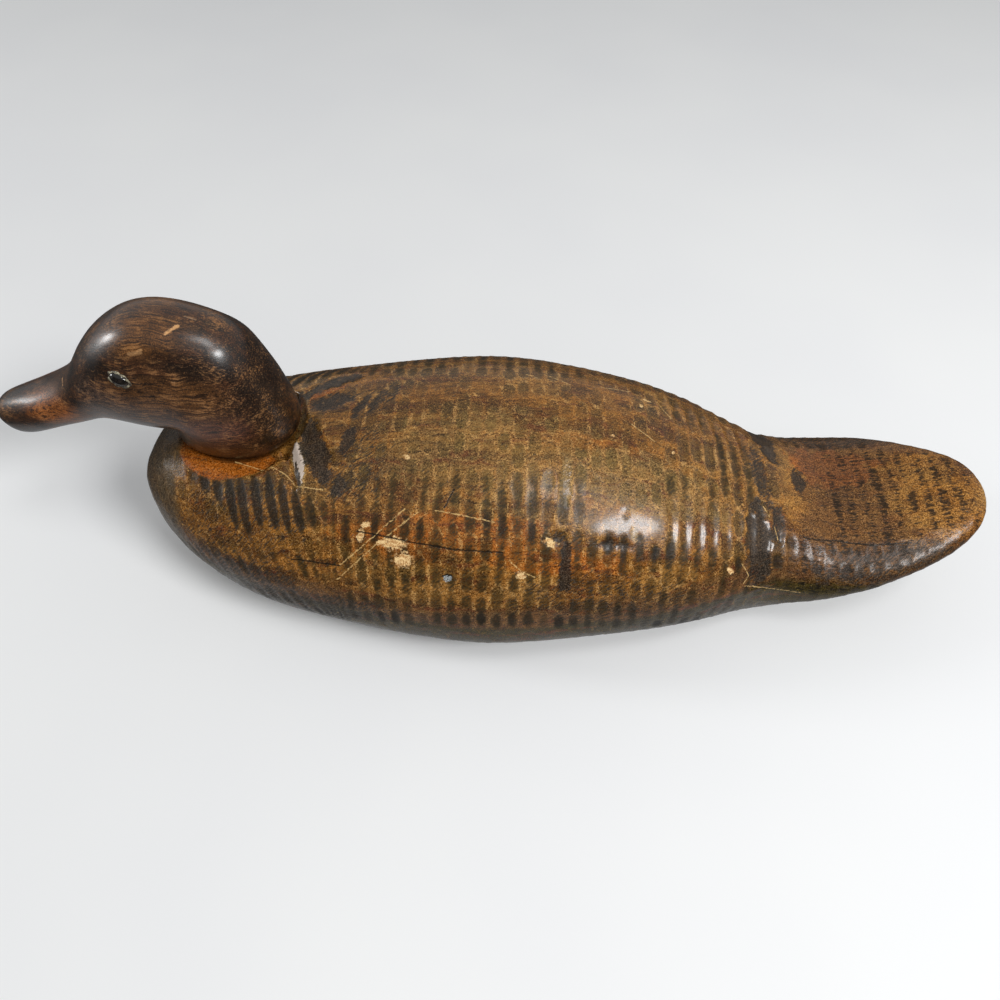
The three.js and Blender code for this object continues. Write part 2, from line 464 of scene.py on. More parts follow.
tailTop = {
    "from": (116, 135),
    "to": (203, 196),
    "edgeAt": [116, 150, 200],  # x at which the next line gives the ridge's distance from the middle
    "edge": [27, 27, 15],
    "ridge": 0.15,
    "ridgeWidth": 3.2,
    "hollow": 0.5,
    "hollowEdge": 12,
}


# The plan's lines at x, as a dictionary of arrays.
bodyLines = {name: smoothLine(body["x"], body[name])
             for name in ("halfWidth", "top", "girth", "underside", "fullnessAbove", "fullnessBelow")}


# How far out over the seat a point is: its distance from the seat's centre over the seat's radius.
def seatShare(x, y):
    return np.hypot(x - body["seat"]["x"], y) / body["seat"]["radius"]


# A section at x is a superellipse of turn, fuller below than above and cut off at z = 0. Over the seat, z
# is at most the seat's height plus its wall, which rises as the square of the way past the edge.
def bodyPoint(x, turn):
    toBreast, toTail = x - body["ends"][0], body["ends"][1] - x
    breast, tail = body["breastRounding"], body["tailRounding"]
    width, height = (endRounding(toBreast, breast[size]) * endRounding(toTail, tail[size])
                     for size in ("width", "height"))
    line = {name: read(x) for name, read in bodyLines.items()}
    above = np.sin(turn) >= 0
    fullness = np.where(above, line["fullnessAbove"], line["fullnessBelow"])
    reach = np.where(above, line["top"] - line["girth"], line["girth"] - line["underside"]) * height
    y = line["halfWidth"] * width * fullCurve(np.cos(turn), fullness)
    z = np.maximum(line["girth"] + reach * fullCurve(np.sin(turn), fullness), 0)
    share = seatShare(x, y)
    seat = body["seat"]
    wall = seat["height"] + seat["wall"] * np.maximum(share - 1, 0) ** 2
    z = np.where(share < seat["reach"], np.minimum(z, wall), z)
    return np.stack([x + 0 * y, y, z], -1)


# Stations along the body at equal steps along its outlines, so that the round ends get as many as they need.
def bodyStations():
    turn = np.linspace(0, math.pi, 4001)
    x = np.mean(body["ends"]) - np.diff(body["ends"])[0] / 2 * np.cos(turn)
    outline = np.concatenate([bodyPoint(x, angle) for angle in (0, math.pi / 2, -math.pi / 4)], -1)
    travelled = np.concatenate([[0], np.cumsum(np.linalg.norm(np.diff(outline, axis=0), axis=-1))])
    return np.interp(np.linspace(0, travelled[-1], body["stations"] + 2), travelled, x)


# Turns round each section at equal steps along it, wider on the flat underside, from the ridge line down
# the near side and up the far side. Gives them and each one's distance from the ridge, negative on the near
# side.
def bodyTurns(x):
    fine = np.linspace(math.pi / 2, 2.5 * math.pi, 1601)
    section = bodyPoint(x[:, None], fine)
    step = np.linalg.norm(np.diff(section, axis=1), axis=-1)
    low = section[:, 1:, 2] < 1.0
    weighted = np.cumsum(step * np.where(low, 0.3, 1.0) + 1e-6, axis=1)
    travelled = np.cumsum(step, axis=1)
    share = np.arange(body["around"]) / body["around"]
    turns, distances = [], []
    for i in range(len(x)):
        turn = np.interp(share * weighted[i, -1], np.append(0, weighted[i]), fine)
        distance = np.interp(turn, fine, np.append(0, travelled[i]))
        turns.append(turn)
        distances.append(np.where(turn < 1.5 * math.pi, -distance, travelled[i, -1] - distance))
    return np.array(turns), np.array(distances)


# A bump that is 1 at the middle of an oval cut and 0 past its edge: the sum of the two shares of the way out,
# each to the oval's power, run through a smooth step.
def ovalCut(across, along, halfWidth, halfLength, soft):
    power = 2.4  # an oval a little squarer than an ellipse
    out = (np.abs(across) / halfWidth) ** power + (np.abs(along) / halfLength) ** power
    return smoothStep(1 + soft, 1 - soft, out)


# The value that lies the chance's share of the way between two limits.
def varied(chance, limits):
    return limits[0] + (limits[1] - limits[0]) * chance


# Seeded chances from 0 to 1, with one row for each column of cuts.
def columnChances(seed, *shape):
    return np.random.default_rng(seed).random((body["columns"], *shape))


# Which column of cuts a place is in, and how far it is from that column's middle. The breast's columns lean.
def nearestColumn(x, around, wander):
    leaning = body["lean"] * smoothStep(-58, -70, x) * (np.abs(around) - 24)
    column = np.interp(x - leaning, body["columnAt"], body["columnNumber"]) + wander
    nearest = np.rint(column).astype(int)
    return nearest % body["columns"], (column - nearest) * body["columnPitch"]


# The worn cuts that cover the whole body: one oval in each cell of a grid of columns and rows, each column
# shifted by its own share of a row. Gives the ovals, their rims and the stain that is left in them.
def wornCuts(x, around, wander):
    column, across = nearestColumn(x, around, wander)
    side = (around > 0).astype(int)
    row = np.abs(around) / wornRows["pitch"] + wornRows["shift"] * columnChances(50, 2)[column, side]
    number = np.floor(row).astype(int)
    along = (row - number - 0.5) * wornRows["pitch"]
    chance = columnChances(51, 16, 3)[column, (number + 7 * side) % 16]
    halfLength = wornRows["pitch"] * varied(chance[..., 0], wornVaries["length"])
    halfWidth = wornRows["width"] * varied(chance[..., 1], wornVaries["width"])
    oval = ovalCut(across, along, halfWidth, halfLength, wornRows["soft"])
    return oval, 4 * oval * (1 - oval), oval * varied(chance[..., 2], wornVaries["ink"])


# The deep cuts, row by row, each cut an oval, and the long strokes. Gives the depth and the stain.
def gougeCuts(x, around, wander):
    depth, ink = np.zeros_like(x), np.zeros_like(x)
    column, across = nearestColumn(x, around, wander)
    for number, (span, ridge, length, deep, stain, width) in enumerate(gougeRows):
        for side in (-1, 1):
            chance = columnChances(100 + 2 * number + side, 4)[column]
            varies = {name: varied(chance[..., index], gougeVaries[name])
                      for index, name in enumerate(("moved", "length", "width"))}
            along = side * around - np.interp(x, span, ridge) - varies["moved"]
            shape = ovalCut(across, along, width * varies["width"], length / 2 * varies["length"], 0.7)
            ends = smoothStep(span[0] - 3, span[0] + 3, x) * smoothStep(span[1] + 3, span[1] - 3, x)
            cut = shape * ends * (side * around > 0)
            depth = np.maximum(depth, cut * deep * varied(chance[..., 3], gougeVaries["depth"]))
            ink = np.maximum(ink, cut * stain * varied(chance[..., 3], gougeVaries["ink"]))
    for top, start, end, stain in breastStrokes:
        down = np.abs(around) - start
        across = x - top - body["lean"] * down + strokeCut["stray"] * wander
        middle = (end - start) / 2
        cut = ovalCut(across, down - middle, strokeCut["width"], middle, strokeCut["soft"])
        depth = np.maximum(depth, cut * strokeCut["depth"])
        ink = np.maximum(ink, cut * stain)
    return depth, ink


# A place measured from the middle of a mark, across it and upward, turned as the mark leans.
def fromMark(x, around, mark):
    lean = math.radians(mark["lean"])
    u, v = x - mark["at"][0], around - mark["at"][1]
    return u * math.cos(lean) + v * math.sin(lean), v * math.cos(lean) - u * math.sin(lean)


# Each broad mark is an ellipse with a rough edge. Gives the depth cut in and the three finishes.
def broadMarks(x, around, rough):
    depth = np.zeros_like(x)
    finish = {name: np.zeros_like(x) for name in ("soot", "warm", "dustAndHighlight")}
    for mark in bodyMarks:
        across, upward = fromMark(x, around, mark)
        distance = np.hypot(across / mark["size"][0], upward / mark["size"][1])
        inside = smoothStep(1.25, 0.7, distance + 0.3 * rough)
        depth = np.maximum(depth, inside * mark["depth"])
        for name, share in finish.items():
            finish[name] = np.maximum(share, inside * mark["finish"][name])
    return depth, finish


# The notch beside the neck: an almond whose depth is its slope times the way left to its far edge. The edge
# by the neck is a steep wall.
def shoulderNotch(x, around):
    across, upward = fromMark(x, around, notch)
    width = notch["width"] * np.sqrt(np.maximum(1 - (upward / notch["halfLength"]) ** 2, 0))
    return notch["slope"] * np.maximum(width - across, 0) * smoothStep(-notch["wall"], 0, across)


# Shallow flutes across the rump: a cosine of the way from one column to the next.
def rumpFlutes(x, around, wander):
    across = nearestColumn(x, around, wander)[1] / body["columnPitch"]
    zone = smoothStep(*rump["from"], x) * smoothStep(*rump["to"], x)
    zone = zone * smoothStep(*rump["reach"], np.abs(around))
    return rump["depth"] * zone * (1 + np.cos(2 * math.pi * across)) / 2


# The tail's flat top is slightly hollow and stands up to a ridge before its bevelled edge.
def tailRidge(x, around):
    zone = smoothStep(*tailTop["from"], x) * smoothStep(*tailTop["to"], x)
    edge = np.interp(x, tailTop["edgeAt"], tailTop["edge"])
    ridge = np.exp(-(((np.abs(around) - edge) / tailTop["ridgeWidth"]) ** 2))
    hollow = smoothStep(edge, edge - tailTop["hollowEdge"], np.abs(around))
    return zone * (tailTop["ridge"] * ridge - tailTop["hollow"] * hollow)


# The share of the cuts' depth that is left where wear has polished them away.
def unpolished(x, around, rough):
    (middle, row), (long, high) = polished["at"], polished["size"]
    return smoothStep(0.8, 1.25, np.hypot((x - middle) / long, (around - row) / high) + 0.15 * rough)


# The share of the skin that lies on the seat, and the share of that where the wood is bare, beside the neck.
def seatZones(x, around, points):
    share = seatShare(x, points[..., 1])
    onSeat = smoothStep(1.03, 0.96, share) * smoothStep(60, 70, points[..., 2])
    beside = np.abs(around) - 0.8 * (x - body["seat"]["x"])
    return onSeat, onSeat * smoothStep(-1.5, 1.5, beside) * smoothStep(-131, -124, x)


def buildBody():
    rings = bodyStations()[1:-1]
    turns, around = bodyTurns(rings)
    points = bodyPoint(rings[:, None], turns)
    x = rings[:, None] + 0 * around
    wander, rough, uneven = (layeredNoise(points, bodyNoise[name]) for name in ("wander", "rough", "uneven"))
    cutDepth, ink = gougeCuts(x, around, wander)
    oval, rim, worn = wornCuts(x, around, wander)
    cutDepth = np.maximum(cutDepth, oval * wornRows["depth"] * unpolished(x, around, rough))
    markDepth, finish = broadMarks(x, around, rough)
    onSeat, bare = seatZones(x, around, points)
    lift = uneven + tailRidge(x, around) - rumpFlutes(x, around, wander)
    lift = lift - markDepth - shoulderNotch(x, around)
    lift = lift - (1 - onSeat) * cutDepth * (0.8 + 0.3 * rough)
    lift = lift * smoothStep(0.5, 7, points[..., 2])  # the flat underside stays flat
    points = points + gridNormals(points) * lift[..., None]
    warm = np.maximum(finish["warm"], 1.3 * bare)
    values = {
        "place": np.stack([x, around, 0 * around], -1),
        "cuts": np.stack([ink, worn, rim], -1) * (1 - onSeat)[..., None],
        "finish": np.stack([finish["soot"] * (1 - bare), warm, finish["dustAndHighlight"] * (1 - bare)], -1),
    }
    tips = [bodyPoint(np.array(end), np.array(0.0)) for end in body["ends"]]
    stored = {name: withEnds(value[0].mean(0), value, value[-1].mean(0)) for name, value in values.items()}
    points = withEnds(tips[0], points, tips[1])
    return addMesh("carved_body", points, closedFaces(len(rings), body["around"]), stored)


# Colours are the ones that the finished wood shows under white light.
bodyFinish = paints(
    brown=(98, 59, 22), ochre=(150, 98, 38), tan=(166, 120, 58), orange=(166, 88, 22), red=(96, 46, 24),
    olive=(50, 45, 8), grey=(156, 128, 80), worn=(92, 76, 36), stain=(54, 42, 15), rim=(200, 154, 92),
    line=(48, 27, 10), pore=(50, 34, 16), fleck=(192, 148, 86), ink=(21, 18, 10), dash=(44, 37, 16),
    soot=(24, 20, 15), ash=(78, 66, 54), dusky=(80, 56, 38), primer=(218, 202, 188), nail=(96, 98, 98),
    nailPale=(172, 176, 176), breast=(48, 40, 30), brushed=(116, 98, 74), bare=(232, 198, 142),
    bareGrain=(176, 126, 74), scratch=(216, 178, 116),
)
bodyVarnish = {
    "Roughness": 0.28, "Specular IOR Level": 0.2,
    "Coat Weight": 0.5, "Coat Roughness": 0.15, "Coat IOR": 1.4,
}

# The largest share of what lies under it that each coat covers.
bodyCover = {
    "tan": 0.6, "orange": 0.85, "grey": 0.75, "dusky": 0.65, "olive": 0.9, "red": 0.7, "line": 0.5,
    "oval": 1.0, "rim": 0.5, "pore": 0.5, "fleck": 0.35, "breast": 0.85, "cut": 0.9, "tick": 0.85,
    "soot": 0.92, "primer": 0.9, "contactShade": 0.85, "tip": 0.5, "scratch": 0.75, "chip": 1.0, "crack": 0.9,
    "nailShadow": 1.0, "nail": 1.0, "redOnTail": 0.2,
}

# Repeats of each noise in a millimetre, or along the grain and across it, and how far the grain sways.
bodyWood = {
    "wobble": 0.09, "sway": (6.0, 5.0), "grain": (0.1, 1.3, 1.3), "streak": (0.018, 0.16, 0.16),
    "red": (0.039, 0.286, 0.286), "brushed": (1.7, 1.7, 0.13),
    "speckle": 1.1, "fine": 2.2, "blotch": 0.055, "ragged": 0.75,
}
bodyHatch = {"angle": 42, "length": 3.2, "width": 0.8}  # the scrubbed lines in the dark stains
tailTicks = {"angle": 3, "length": 3.2, "width": 1.05}

# What each pattern adds to the brightness, the roughness, the matt share and the height of the surface.
bodyShade = {"fine": 2.0, "speckle": 1.8, "grain": 1.0}
bodyDull = {"stain": 0.12, "sooty": 0.1, "chip": 0.4}
bodyMatt = {"stain": 0.7, "sooty": 0.15, "onSeat": 0.7, "onFront": 0.9, "onTail": 0.55, "chip": 1.0}
bodyRelief = {"grain": 0.5, "speckle": 0.4, "fine": 0.2, "crack": -0.9, "chip": -0.8, "tailTick": -0.6}

# Fine marks on the near side, as places (x, distance round from the ridge) in millimetres.
bodyCracks = [
    [(-78, -57.9), (-66, -60), (-58.5, -61.4)],
    [(-51.5, -48), (-42.5, -49.9), (-30, -52.8), (-14, -55.6), (3.5, -56.1)],
    [(125, -25), (140, -24), (154, -25.5), (168, -25)],
    [(-18.5, -40), (-15.5, -33)],
]
bodyScratches = [
    [(-58.5, -61.2), (-46, -51), (-33.5, -40.2)],
    [(-60, -67.5), (-45, -54), (-28.5, -41.5)],
    [(-104, -16.8), (-89, -21.4), (-77, -29.4), (-66, -31.5)],
    [(9, 27), (14, 24)],
    [(19, 26.5), (27.5, 21.5)],
    [(40, 24), (53, 26)],
    [(52, 4), (61, -2)],
    [(64, 24), (70, 14)],
    [(6, -59), (11, -63), (16, -65)],
    [(101, -52.3), (126.5, -49.8)],
    [(98, -43), (102, -47), (100, -51)],
    [(107, -16), (110, -20.5)],
    [(112.5, -24), (114, -29)],
    [(-22, -41), (0, -45)],
]
# Painted shade on the body round the neck's foot, where the head meets the seat.
neckFootShade = {"at": (-104.5, 0, 72), "size": (18.5, 16, 7)}  # the dark line round the neck's foot
bodyNail = ((-16.8, -67.2), (1.7, 1.1))  # a small grey nail head, as place and half sizes
nailShadow = ((-16.8, -66.2), (1.7, 1.1))
# Chips down to bare wood: place and half sizes.
bodyChips = [
    ((-48.3, -45.6), (1.8, 1.0)), ((-50, -49.6), (1.3, 2.2)), ((-42.5, -52.5), (1.6, 1.0)),
    ((-37, -53), (4.2, 2.4)), ((-33.5, -59.5), (3.6, 2.8)), ((21, -51), (2.2, 1.8)),
    ((93, -47), (1.5, 1.1)), ((10.5, -64.5), (1.6, 1.3)), ((60, 22), (1.8, 0.8)), ((57, 17), (0.8, 1.0)),
    ((44, -4), (0.8, 0.7)), ((69, -5), (0.7, 0.7)), ((-34, -20), (1.2, 1.0)),
]


# Fine lines at an angle: noise drawn out along them, read on turned coordinates.
def hatchNoise(place, hatch):
    turned = {
        "Vector": place,
        "Rotation": (0, 0, math.radians(hatch["angle"])),
        "Scale": (hatch["length"], hatch["width"], 1),
    }
    return place.node("ShaderNodeMapping", {"vector_type": "TEXTURE"}, turned).noise(1.0, 2.0, 0.6)


# The body's noises, what is stored on its points, where on it a point is, and the stains and marks as shares.
def bodyPatterns(start):
    wood = woodNoises(start, bodyWood)
    wood.place = start.stored("place")
    wood.ink, wood.worn, wood.rim = (start.stored("cuts").part(index) for index in range(3))
    wood.soot, wood.warm, wood.dustAndHighlight = (start.stored("finish").part(index) for index in range(3))
    wood.x, wood.height = wood.point.part(0), wood.point.part(2)
    wood.onTail = wood.x.step(112, 126)
    wood.onBack = 1 - wood.onTail
    wood.onFront = wood.x.step(-108, -122)
    wood.onSeat = wood.warm.step(0.9, 1.2)
    wood.upper = wood.height.step(38, 54) * 0.75 + 0.25
    hatch, tick = hatchNoise(wood.place, bodyHatch), hatchNoise(wood.place, tailTicks)
    wood.stain = (wood.ink + wood.fine.swing(2.2) + hatch.swing(1.7)).step(0.1, 0.8)
    wood.tailTick = (tick + wood.ink * 0.2 + wood.fine.swing(0.3)).step(0.61, 0.69) * wood.onTail
    wood.sooty = (wood.soot + wood.speckle.swing(1.8) + hatch.swing(2.0)).step(0.2, 0.7)
    # The pale primer, partly a painted highlight in the notch beside the neck.
    wood.primed = (wood.dustAndHighlight + hatch.swing(1.6) + wood.fine.swing(1.0)).step(1.55, 1.9) * (1 - wood.sooty)
    wavering = start.joined(wood.ragged.swing(0.8), wood.ragged.swing(-1.2))
    loose = wood.place.vector("ADD", wood.place, wavering)
    wood.crack = drawnLines(loose, bodyCracks, 0.45)
    wood.scratch = drawnLines(loose, bodyScratches, 0.32)
    wood.chip = reduce(Wire.largest, [chipMask(wood.place, wood.ragged, chip) for chip in bodyChips])
    return wood


# The share of a surface on any of some broken lines of a width.
def drawnLines(place, lines, width):
    pairs = [pair for line in lines for pair in zip(line, line[1:])]
    masks = [lineMask(place, (*start, 0), (*end, 0), width, 0.35) for start, end in pairs]
    return reduce(Wire.largest, masks)


# Streaks of brown and ochre, under coats that lie on them in this order.
def plainWood(wood, finish):
    red = wood.bent.stretched(bodyWood["red"]).noise(1.0, 3.0, 0.6)
    redLeft = 1 - wood.onTail * (1 - bodyCover["redOnTail"] / bodyCover["red"])
    colour = wood.start.mixed(wood.streak.step(0.4, 0.6), finish["brown"], finish["ochre"])
    return coated(colour, finish, bodyCover, [
        ("tan", (wood.blotch * 0.6 + wood.speckle * 0.4).step(0.45, 0.6)),
        ("orange", (wood.warm + wood.streak.swing(1.2)).step(0.25, 0.85)),
        ("grey", (wood.dustAndHighlight + wood.speckle.swing(0.9)).step(0.25, 1.1)),
        # Darker brown below mid height; lower still the olive tint, partly painted shade towards the bottom.
        ("dusky", (wood.height.step(54, 44) + wood.streak.swing(1.6)).step(0.3, 0.8)),
        ("olive", (wood.height.step(42, 31) + wood.blotch.swing(1.2)).step(0.25, 0.8)),
        ("red", red.step(0.55, 0.65) * redLeft),
        ("line", wood.grain.step(0.47, 0.34)),
    ])


# The worn ovals with their rims, the pores and flecks, and a brightness that varies with the noises.
def speckledWood(wood, colour, finish):
    onBack = wood.onBack * wood.upper
    inOval = (wood.worn + wood.fine.swing(1.5) + wood.speckle.swing(1.0)).step(0.1, 0.8) * onBack
    edge = (wood.rim + wood.fine.swing(2.0) + wood.blotch.swing(1.2)).step(0.45, 1.0) * onBack
    ovalColour = colour.mixed(wood.dustAndHighlight.step(0.15, 0.6), finish["stain"], finish["worn"])
    return coated(colour, finish, bodyCover, [
        ("oval", inOval * (wood.blotch.step(0.4, 0.6) * 0.35 + 0.4), ovalColour),
        ("rim", edge),
        ("pore", wood.fine.step(0.44, 0.34)),
        ("fleck", wood.fine.step(0.57, 0.68) * wood.upper),
    ]).brightened(shadeOf(wood, bodyShade))


# The brushed breast, the stain in the cuts, the ticks on the tail, soot, the pale primer that is partly a
# painted highlight in the notch, painted shade round the neck's foot, and the worn tip of the tail.
def stainedWood(wood, colour, finish):
    front = (wood.x.step(-118, -140) + wood.blotch.swing(0.8)).step(0.2, 0.8)
    brushed = wood.bent.stretched(bodyWood["brushed"]).noise(1.0, 3.0, 0.6).step(0.4, 0.68)
    tip = (wood.x.step(195, 203) + wood.speckle.swing(1.6)).step(0.45, 0.95)
    inkColour = colour.mixed(wood.ink.step(0.55, 0.95), finish["dash"], finish["ink"])
    return coated(colour, finish, bodyCover, [
        ("breast", front, colour.mixed(brushed, finish["breast"], finish["brushed"])),
        ("cut", wood.stain * wood.onBack, inkColour),
        ("tick", wood.tailTick, finish["ink"]),
        ("soot", wood.sooty, colour.mixed(wood.fine.step(0.46, 0.64), finish["soot"], finish["ash"])),
        ("primer", wood.primed),
        ("contactShade", wood.point.outward(neckFootShade["at"], neckFootShade["size"]).step(1.16, 1.02), finish["line"]),
        ("tip", tip, finish["fleck"]),
    ])


# Scratches, chips down to bare wood, cracks, and the nail head with the shadow on its rim.
def damagedWood(wood, colour, finish):
    pale = (wood.fine * 0.5 + wood.grain * 0.5).step(0.42, 0.56)
    bare = colour.mixed(pale, finish["bareGrain"], finish["bare"])
    nail = colour.mixed(wood.fine.step(0.4, 0.6), finish["nail"], finish["nailPale"])
    return coated(colour, finish, bodyCover, [
        ("scratch", wood.scratch * wood.speckle.step(0.35, 0.55)),
        ("chip", wood.chip, bare),
        ("crack", wood.crack * wood.speckle.step(0.3, 0.45), finish["ink"]),
        ("nailShadow", chipMask(wood.place, wood.ragged, nailShadow, 0.12), finish["ink"]),
        ("nail", chipMask(wood.place, wood.ragged, bodyNail, 0.12), nail),
    ])


def bodyMaterial():
    material, shader, start = startMaterial("varnished_body_wood", bodyVarnish)
    wood = bodyPatterns(start)
    colour = plainWood(wood, bodyFinish)
    for treat in (speckledWood, stainedWood, damagedWood):
        colour = treat(wood, colour, bodyFinish)
    linkMap(shader, "Base Color", colour)
    dull = weighed(wood, bodyDull) + wood.speckle.swing(0.3) + wood.fine.swing(0.15)
    linkMap(shader, "Roughness", (dull + bodyVarnish["Roughness"]).largest(0.12))
    glossy = wood.dustAndHighlight.step(1.8, 2.1) * 0.5 + bodyVarnish["Coat Weight"]  # more in the notch
    linkMap(shader, "Coat Weight", (1 - weighed(wood, bodyMatt).clamped()) * glossy)
    linkMap(shader, "Normal", weighed(wood, bodyRelief).bump(0.55, 0.35))
    return material


carvedBody = buildBody()
carvedBody.data.materials.append(bodyMaterial())
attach(carvedBody, "root")
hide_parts("body")
print("body carved:", len(carvedBody.data.polygons), "faces")

# Millimetres. Sections run from the chin line to the crown line, seen from the side, and fan round from
# upright at the bill to level at the neck. "along" holds the shares of the way at which the lines are read.
head = {
    "along": [0, 0.1, 0.24, 0.38, 0.5, 0.62, 0.75, 0.87, 0.95, 1],
    "crownX": [-204.5, -197, -174, -159, -147.5, -125.5, -99, -86, -80, -86.5],
    "crownZ": [81, 87, 97, 108.5, 122, 133.5, 127.5, 108, 80.5, 72.3],
    "chinX": [-202.5, -191, -176.5, -162.5, -152.5, -144, -132.5, -127.5, -128.5, -122.5],
    "chinZ": [70.5, 70.5, 76.5, 81, 84, 83.5, 81.5, 81.5, 74, 72.3],
    "halfWidth": [4.5, 8.5, 12, 13.5, 15.5, 19, 19.5, 20, 17.5, 15.5],
    "billRounding": 0.1,
    "fullness": 2.2,
    "stations": 260,
    "around": 200,
}
eye = {
    "place": (-131.8, 18.1, 117.1),  # on the head's skin, mirrored to both sides
    "outward": (-0.11, 0.96, 0.26),
    "tilt": 24,  # degrees that the front corner stands above the back one
    "opening": (3.2, 2.1),  # half sizes of the glass that shows
    "bulge": 2.2,
    "sunk": 1.35,
    "ring": 0.6,  # half the thickness of the putty
    "ringHeight": 0.62,  # as a share of its width
    "bead": 1.14,  # the whole bead against its opening
    "hollow": 0.5,  # how far the skin sinks round the eye
    "socket": 1.6,
}
headLines = {name: smoothLine(head["along"], head[name])
             for name in ("crownX", "crownZ", "chinX", "chinZ", "halfWidth")}
headNoise = [((20, 14, 16), 0.22, 11), ((7, 5, 5), 0.07, 12)]  # cell, size and seed


# A section's point: the middle of chin and crown, plus half their span times one full curve of turn, with the
# half width times the other full curve as y. Both shrink to a point at the bill's tip.
def headPoint(along, turn):
    line = {name: read(along) for name, read in headLines.items()}
    small = endRounding(along, head["billRounding"])
    lift = fullCurve(np.sin(turn), head["fullness"]) * small / 2
    x = (line["chinX"] + line["crownX"]) / 2 + (line["crownX"] - line["chinX"]) * lift
    z = (line["chinZ"] + line["crownZ"]) / 2 + (line["crownZ"] - line["chinZ"]) * lift
    y = line["halfWidth"] * small * fullCurve(np.cos(turn), head["fullness"])
    return np.stack([x, y, z], -1)


# The place and three axes of an eye: lengthwise and crosswise of its opening, and outwards. The near side
# is -1.
def eyeAxes(side):
    outward = np.array(eye["outward"]) * (1, side, 1)
    outward = outward / np.linalg.norm(outward)
    level = np.cross((0, 0, 1), outward) * side
    level = level / np.linalg.norm(level)
    upright = np.cross(outward, level) * side
    upright = upright * np.sign(upright[2])
    tilt = math.radians(eye["tilt"])
    level = level * -np.sign(level[0])
    lengthwise = level * math.cos(tilt) + upright * math.sin(tilt)
    crosswise = upright * math.cos(tilt) - level * math.sin(tilt)
    return np.array(eye["place"]) * (1, side, 1), lengthwise, crosswise, outward


# Points as distances lengthwise and crosswise of an eye's opening, and outwards from the head.
def fromEye(points, side):
    centre, *axes = eyeAxes(side)
    return tuple((points - centre) @ axis for axis in axes)


# Shares of the way out to an eye's opening, 1 on its edge.
def eyeShare(lengthwise, crosswise):
    return np.hypot(lengthwise / eye["opening"][0], crosswise / eye["opening"][1])


def buildHead():
    along = np.linspace(0, 1, head["stations"] + 1)[1:, None] ** 1.15  # closer together at the bill's tip
    turn = np.linspace(0, 2 * math.pi, head["around"], endpoint=False)[None, :]
    points = headPoint(along, turn)
    normals = gridNormals(points)
    lift = layeredNoise(points, headNoise)
    socket = np.zeros_like(lift)
    for side in (-1, 1):
        u, v, w = fromEye(points, side)
        distance = eyeShare(u, v) + 9 * (np.abs(w) > 6)  # leaves out the other side of the head
        socket = np.maximum(socket, smoothStep(1.15, 0.8, distance))
        lift = lift - eye["hollow"] * smoothStep(3.0, 1.3, distance)
    points = points + normals * (lift - eye["socket"] * socket)[..., None]
    tip = headPoint(np.array(0.0), np.array(0.0))
    stacked = withEnds(tip, points, points[-1].mean(0))
    return addMesh("carved_head", stacked, closedFaces(head["stations"], head["around"])), points


# Zones of the head's finish: centre, half sizes, colour, and how much of it shows. They are mirrored.
headZones = [
    ((-170, 11, 93), (15, 8, 8), "orange", 0.95),
    ((-122, 9, 131), (17, 9, 8), "brown", 0.85),
    ((-117, 19, 110), (24, 8, 10), "brown", 0.85),
    ((-105, 19, 92), (20, 9, 9), "red", 0.85),
    ((-143, 15, 104), (12, 8, 12), "grey", 0.4),
    # Grey on the bill top, partly a painted sheen.
    ((-172, 6, 100), (16, 6, 4), "grey", 0.5),
    ((-87, 8, 104), (9, 16, 26), "dark", 0.9),
    ((-141, 13, 120), (7, 6, 7), "dark", 0.85),
    ((-99, 14, 120), (15, 6, 4.5), "dark", 0.85),
    ((-195, 0, 84), (9, 9, 9), "dark", 0.8),
]
headFinish = paints(
    base=(72, 42, 20), brown=(100, 62, 25), orange=(146, 82, 28), red=(96, 52, 32), grey=(104, 82, 70),
    dark=(27, 18, 12), line=(38, 22, 12), light=(140, 98, 56), bare=(222, 168, 110),
    scratch=(170, 134, 100),
)
headVarnish = {
    "Roughness": 0.36, "Specular IOR Level": 0.35,
    "Coat Weight": 0.6, "Coat Roughness": 0.22, "Coat IOR": 1.5,
}
headCover = {"line": 0.85, "light": 0.5, "pore": 0.55, "fleck": 0.35}
headWood = {
    "wobble": 0.06, "sway": (4.0, 7.0), "grain": (0.03, 1.7, 1.7), "streak": (0.03, 0.32, 0.32),
    "speckle": 1.3, "fine": 2.4, "blotch": 0.12, "ragged": 0.9,
}
headShade = {"fine": 1.2, "grain": 1.3, "blotch": 2.0}
headRelief = {"grain": 0.6, "speckle": 0.25, "chip": -0.7}
# Strokes in space: from, to, width, and how much of them shows.
headChips = [
    ((-112.4, -7.4, 130.6), (-109.8, -5.0, 131.2), 0.85, 0.85),
    ((-113.2, -8.4, 130.5), (-112.0, -7.2, 130.7), 0.7, 0.9),
    ((-125.4, -14.2, 126.4), (-121.4, -14.0, 127), 1.0, 0.3),
    ((-123.6, -14.2, 126.4), (-121.0, -13.4, 127.6), 0.8, 0.4),
    ((-163.1, -5.0, 103.7), (-161.4, -8.6, 103.5), 0.5, 0.8),
]
headScratches = [
    ((-90.7, -1.4, 118.5), (-89.9, -7.8, 114), 0.3, 0.3),
    ((-86.9, -4.0, 109.2), (-86, -8.5, 102.1), 0.3, 0.3),
    ((-84.1, 4.1, 101.4), (-82.9, -4, 97.5), 0.3, 0.35),
    ((-108.5, -0.4, 131.5), (-105.3, -0.5, 130.4), 0.5, 0.6),
    ((-127, -17.2, 117), (-112, -17.6, 117), 0.35, 0.35),
    ((-136, -2.0, 126.6), (-131, -7.5, 127.5), 0.5, 0.45),
]


# The share of a surface on any of some strokes, each with its own width and share.
def strokeMask(place, strokes):
    masks = [lineMask(place, start, end, width, 0.4) * share for start, end, width, share in strokes]
    return reduce(Wire.largest, masks)


